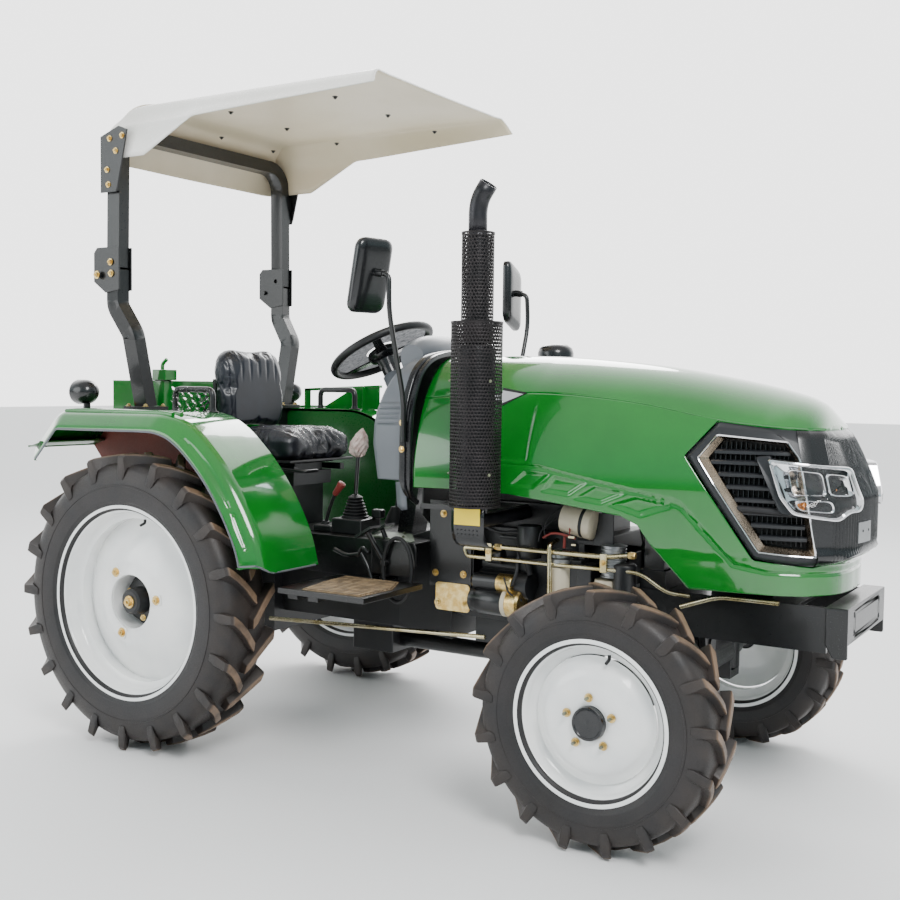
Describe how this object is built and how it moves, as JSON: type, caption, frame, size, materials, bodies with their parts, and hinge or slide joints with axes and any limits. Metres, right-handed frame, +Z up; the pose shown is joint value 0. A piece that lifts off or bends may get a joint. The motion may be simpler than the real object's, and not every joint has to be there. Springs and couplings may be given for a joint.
{
  "type": "compact farm tractor",
  "caption": "Compact four-wheel-drive farm tractor with a lifting hood, folding roll bar with sun canopy, steered front wheels and a rear three-point hitch.",
  "frame": {"origin": "on the ground, under the middle of the rear axle", "axes": "+X forward, +Y to the left, +Z up"},
  "size_m": [2.9088, 1.426, 2.194],
  "materials": {
    "green_paint": "gloss",
    "black_paint": "satin",
    "white_paint": "gloss",
    "tyre": "moulded rubber",
    "cast_iron": "painted casting",
    "grey_plastic": "fine moulded grain",
    "black_plastic": "moulded",
    "lamp_lens": "clear lens over chrome",
    "canopy_shell": "smooth",
    "seat_vinyl": "vinyl",
    "steel": "zinc plated",
    "exhaust_black": "perforated, heat resistant"
  },
  "bodies": {
    "chassis": {"fender_left": "green_paint", "fender_right": "green_paint", "rear_box": "green_paint", "rops_posts": "black_paint", "front_bracket": "black_paint", "front_frame": "black_paint", "side_brackets": "black_paint", "console_deck": "black_paint", "step_boards": "black_paint", "seat_frame": "black_paint", "cowl_arch": "black_paint", "grab_loops": "black_paint", "fender_lamps": "black_paint", "steering_column": "black_paint", "pedals": "black_paint", "front_drive_tube": "black_paint", "battery": "black_paint", "radiator": "black_paint", "drawbar": "black_paint", "engine": "cast_iron", "engine_fittings": "cast_iron", "gearbox": "cast_iron", "rear_axle": "cast_iron", "lift_housing": "cast_iron", "front_axle": "cast_iron", "cowl": "grey_plastic", "mirrors": "black_plastic", "control_levers": "black_plastic", "seat_cushion": "seat_vinyl", "seat_back": "seat_vinyl", "pto_shaft": "steel", "exhaust": "exhaust_black"},
    "hood_lid": {"hood": "green_paint", "mask": "black_plastic", "headlamps": "lamp_lens"},
    "roll_hoop": {"rops_hoop": "black_paint", "canopy": "canopy_shell"},
    "hand_wheel": {"steering_wheel": "black_plastic"},
    "steer_knuckle_right": {"knuckle_right": "cast_iron"},
    "steer_knuckle_left": {"knuckle_left": "cast_iron"},
    "steer_rod": {"tie_rod": "steel"},
    "rear_wheel_right": {"rear_rim_right": "white_paint", "rear_tyre_right": "tyre"},
    "rear_wheel_left": {"rear_rim_left": "white_paint", "rear_tyre_left": "tyre"},
    "front_wheel_right": {"front_rim_right": "white_paint", "front_tyre_right": "tyre"},
    "front_wheel_left": {"front_rim_left": "white_paint", "front_tyre_left": "tyre"},
    "rockshaft": {"lift_arms": "black_paint"},
    "link_arms": {"lower_links": "black_paint"},
    "link_rods": {"lift_rods": "black_paint"}
  },
  "joints": [
    {"name": "rear_wheel_right_spin", "type": "hinge", "parent": "chassis", "child": "rear_wheel_right", "pos_m": [0, -0.607, 0.491], "axis": [0, 1, 0], "continuous": true},
    {"name": "rear_wheel_left_spin", "type": "hinge", "parent": "chassis", "child": "rear_wheel_left", "pos_m": [0, 0.607, 0.491], "axis": [0, 1, 0], "continuous": true},
    {"name": "steer_right", "type": "hinge", "parent": "chassis", "child": "steer_knuckle_right", "pos_m": [1.654, -0.45, 0.35], "axis": [0, 0, 1], "range_deg": [-35, 35]},
    {"name": "steer_left", "type": "hinge", "parent": "chassis", "child": "steer_knuckle_left", "pos_m": [1.654, 0.45, 0.35], "axis": [0, 0, 1], "range_deg": [-36, 36]},
    {"name": "tie_rod_turn", "type": "hinge", "parent": "steer_knuckle_right", "child": "steer_rod", "pos_m": [1.504, -0.45, 0.286], "axis": [0, 0, 1], "range_deg": [-36, 36]},
    {"name": "steering_wheel_turn", "type": "hinge", "parent": "chassis", "child": "hand_wheel", "pos_m": [0.535, 0, 1.335], "axis": [-0.4894, 0, 0.8721], "range_deg": [-636, 636]},
    {"name": "front_wheel_right_spin", "type": "hinge", "parent": "steer_knuckle_right", "child": "front_wheel_right", "pos_m": [1.654, -0.583, 0.35], "axis": [0, 1, 0], "continuous": true},
    {"name": "front_wheel_left_spin", "type": "hinge", "parent": "steer_knuckle_left", "child": "front_wheel_left", "pos_m": [1.654, 0.583, 0.35], "axis": [0, 1, 0], "continuous": true},
    {"name": "hood_lift", "type": "hinge", "parent": "chassis", "child": "hood_lid", "pos_m": [0.906, 0, 1.305], "axis": [0, -1, 0], "range_deg": [0, 50]},
    {"name": "roll_bar_fold", "type": "hinge", "parent": "chassis", "child": "roll_hoop", "pos_m": [-0.358, 0, 1.593], "axis": [0, -1, 0], "range_deg": [0, 90]},
    {"name": "hitch_lift", "type": "hinge", "parent": "chassis", "child": "rockshaft", "pos_m": [-0.13, 0, 0.78], "axis": [0, 1, 0], "range_deg": [-8, 40]},
    {"name": "lower_link_lift", "type": "hinge", "parent": "chassis", "child": "link_arms", "pos_m": [-0.13, 0, 0.4], "axis": [0, 1, 0], "range_deg": [-9, 41]},
    {"name": "lift_rod_turn", "type": "hinge", "parent": "rockshaft", "child": "link_rods", "pos_m": [-0.36182, 0, 0.71788], "axis": [0, 1, 0], "range_deg": [-41, 9]}
  ],
  "couplings": [
    {"joint": "steer_left", "follows": "steer_right", "ratio": 1},
    {"joint": "tie_rod_turn", "follows": "steer_right", "ratio": -1},
    {"joint": "steering_wheel_turn", "follows": "steer_right", "ratio": 18},
    {"joint": "lower_link_lift", "follows": "hitch_lift", "ratio": 1},
    {"joint": "lift_rod_turn", "follows": "hitch_lift", "ratio": -1}
  ]
}
